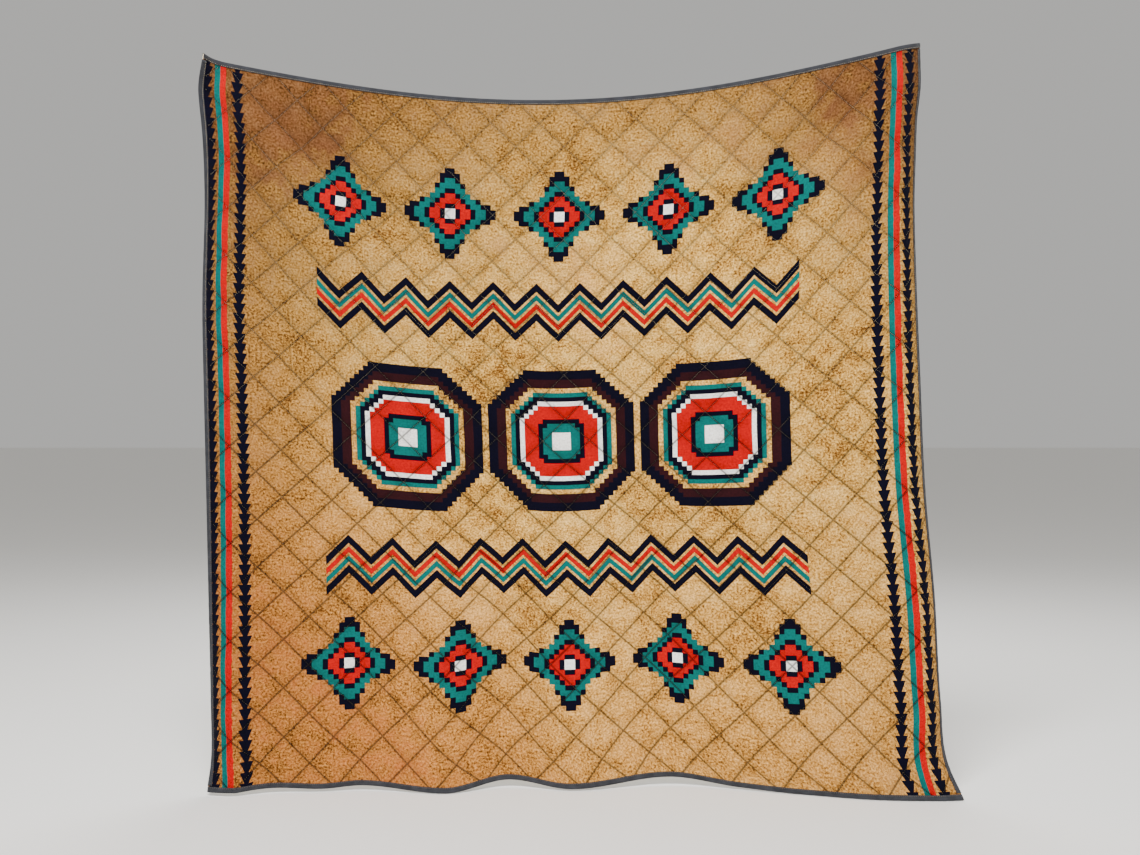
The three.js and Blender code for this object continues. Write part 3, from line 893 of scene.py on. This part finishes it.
class BEDSPREAD_OT_stitches(bpy.types.Operator):
    """Build the quilting stitches on both faces"""

    bl_idname = "bedspread.stitches"
    bl_label = "Stitches"

    def execute(self, context):
        sizes = context.scene.bedspread_sizes
        pitch = sizes.stitch_pitch / MM
        for name, side in (("quilting_stitches_front", 1.0), ("quilting_stitches_back", -1.0)):
            bm = quilting_rows(pitch)
            stitches = finish_piece(bm, name, [shared_material(spun_thread)])
            flat = read_points(stitches.data)
            point, normal = place(flat[:, 0], -flat[:, 1])
            lift = side * (sizes.seam_half / MM + 0.12 + flat[:, 2])
            write_points(stitches.data, point + normal * lift[:, None])
            if side < 0:
                stitches.data.flip_normals()
        return {"FINISHED"}


def one_stitch(bm, length, width, height):
    """A lens-shaped stitch along X, its middle at the origin."""
    made = bmesh.ops.create_cone(bm, segments=4, radius1=0.5, radius2=0, depth=0.5, cap_ends=False)
    bmesh.ops.translate(bm, verts=made["verts"], vec=(0, 0, 0.25))
    bmesh.ops.mirror(bm, geom=bm.verts[:] + bm.edges[:] + bm.faces[:], axis="Z", merge_dist=0.001)
    bmesh.ops.rotate(bm, verts=bm.verts[:], matrix=Matrix(((0, 0, 1), (0, 1, 0), (-1, 0, 0))))
    bmesh.ops.scale(bm, verts=bm.verts[:], vec=(length, width, height))
    bmesh.ops.recalc_face_normals(bm, faces=bm.faces[:])


def quilting_rows(pitch):
    """Flat rows of stitches on every sewn line of both directions, cut to the cloth."""
    cell = np.hypot(CELL_ACROSS, CELL_DOWN)
    joined = bmesh.new()
    for direction in (1, -1):
        bm = bmesh.new()
        one_stitch(bm, STITCH_SHARE * pitch / cell, STITCH_WIDTH / cell, STITCH_HEIGHT)
        steps = int(CELLS * cell / pitch)
        bmesh.ops.translate(bm, verts=bm.verts[:], vec=(0.5 * pitch / cell, 0, 0))
        repeat(bm, (pitch / cell, 0, 0), steps)
        bmesh.ops.translate(bm, verts=bm.verts[:], vec=(0, 1 - CELLS, 0))
        repeat(bm, (0, 2, 0), CELLS - 1)
        for vert in bm.verts:
            rising = 2 * vert.co.x if direction > 0 else vert.co.y + CELLS
            falling = vert.co.y if direction > 0 else 2 * vert.co.x - CELLS
            vert.co.x = (rising + falling) / 2 * CELL_ACROSS
            vert.co.y = (falling - rising) / 2 * CELL_DOWN
        margin = STITCH_MARGIN
        outside = {
            vert for vert in bm.verts
            if not (margin < vert.co.x < WIDTH - margin and margin < -vert.co.y < LENGTH - margin)
        }
        # Two links reach every corner of a stitch, so cut stitches go as a whole
        for link in range(2):
            outside |= {edge.other_vert(vert) for vert in outside for edge in vert.link_edges}
        bmesh.ops.delete(bm, geom=list(outside), context="VERTS")
        bmesh.ops.recalc_face_normals(bm, faces=bm.faces[:])
        kept = bpy.data.meshes.new("stitch_rows")
        bm.to_mesh(kept)
        bm.free()
        joined.from_mesh(kept)
        bpy.data.meshes.remove(kept)
    return joined


class BEDSPREAD_OT_stage(bpy.types.Operator):
    """Build the pale floor, the studio light and the camera"""

    bl_idname = "bedspread.stage"
    bl_label = "Stage"

    def execute(self, context):
        settings = context.scene.bedspread_stage
        low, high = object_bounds()
        bm = bmesh.new()
        bmesh.ops.create_grid(bm, x_segments=1, y_segments=1, size=60.0)
        bmesh.ops.translate(bm, verts=bm.verts[:], vec=(0, 0, low[2] - 0.0005))
        mesh = bpy.data.meshes.new("floor")
        bm.to_mesh(mesh)
        bm.free()
        floor = bpy.data.objects.new("floor", mesh)
        context.scene.collection.objects.link(floor)
        material, tree, shader = new_material("Matt pale floor")
        shader.inputs["Base Color"].default_value = linear("F0EEEA")
        shader.inputs["Roughness"].default_value = 0.85
        mesh.materials.append(material)
        floor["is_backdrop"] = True
        middle = Vector((0.0, 0.0, (low[2] + high[2]) / 2))
        for name, spot, size, power in LAMPS:
            light = bpy.data.lights.new(name, "AREA")
            light.size = size
            light.energy = power
            lamp = bpy.data.objects.new(name, light)
            lamp.location = spot
            lamp.rotation_euler = (middle - lamp.location).to_track_quat("-Z", "Y").to_euler()
            context.scene.collection.objects.link(lamp)
        world = bpy.data.worlds.new("studio")
        world.use_nodes = True
        world.node_tree.nodes["Background"].inputs[0].default_value = linear("F4F3F0")
        world.node_tree.nodes["Background"].inputs[1].default_value = 0.55
        context.scene.world = world
        camera_data = bpy.data.cameras.new("camera")
        camera_data.sensor_width = 36.0
        camera_data.sensor_fit = "HORIZONTAL"
        camera_data.lens = settings.lens
        camera = bpy.data.objects.new("camera", camera_data)
        camera.location = (settings.camera_side, -settings.camera_away, -settings.camera_below)
        camera.rotation_euler = (np.pi / 2, 0, 0)
        context.scene.collection.objects.link(camera)
        context.scene.camera = camera
        return {"FINISHED"}


class BEDSPREAD_PT_panel(bpy.types.Panel):
    """Sizes, colours and pieces of the bedspread"""

    bl_idname = "BEDSPREAD_PT_panel"
    bl_label = "Quilted bedspread"
    bl_space_type = "VIEW_3D"
    bl_region_type = "UI"
    bl_category = "Bedspread"

    def draw(self, context):
        scene = context.scene
        for group in (scene.bedspread_sizes, scene.bedspread_colours, scene.bedspread_stage):
            for name in group.bl_rna.properties.keys():
                if name not in ("rna_type", "name"):
                    self.layout.prop(group, name)
        for operator in OPERATORS:
            self.layout.operator(operator.bl_idname)


OPERATORS = (
    BEDSPREAD_OT_quilted_body, BEDSPREAD_OT_bindings, BEDSPREAD_OT_stitches, BEDSPREAD_OT_tape_stitches,
    BEDSPREAD_OT_stage,
)
CLASSES = (BedspreadSizes, BedspreadColours, BedspreadStage, *OPERATORS, BEDSPREAD_PT_panel)


def register():
    """Register the classes and the scene's settings."""
    for kind in CLASSES:
        bpy.utils.register_class(kind)
    bpy.types.Scene.bedspread_sizes = bpy.props.PointerProperty(type=BedspreadSizes)
    bpy.types.Scene.bedspread_colours = bpy.props.PointerProperty(type=BedspreadColours)
    bpy.types.Scene.bedspread_stage = bpy.props.PointerProperty(type=BedspreadStage)


def unregister():
    """Remove the scene's settings and the classes."""
    del bpy.types.Scene.bedspread_stage
    del bpy.types.Scene.bedspread_colours
    del bpy.types.Scene.bedspread_sizes
    for kind in reversed(CLASSES):
        bpy.utils.unregister_class(kind)


def main():
    register()
    bpy.ops.bedspread.quilted_body()
    bpy.ops.bedspread.bindings()
    bpy.ops.bedspread.stitches()
    bpy.ops.bedspread.tape_stitches()
    bpy.ops.bedspread.stage()
    objects = bpy.data.objects
    extras = [objects[kind + name] for name, run, short in EDGES for kind in ("tape_", "tape_stitches_")]
    extras += [objects["quilting_stitches_front"], objects["quilting_stitches_back"]]


if __name__ == "__main__":
    main()
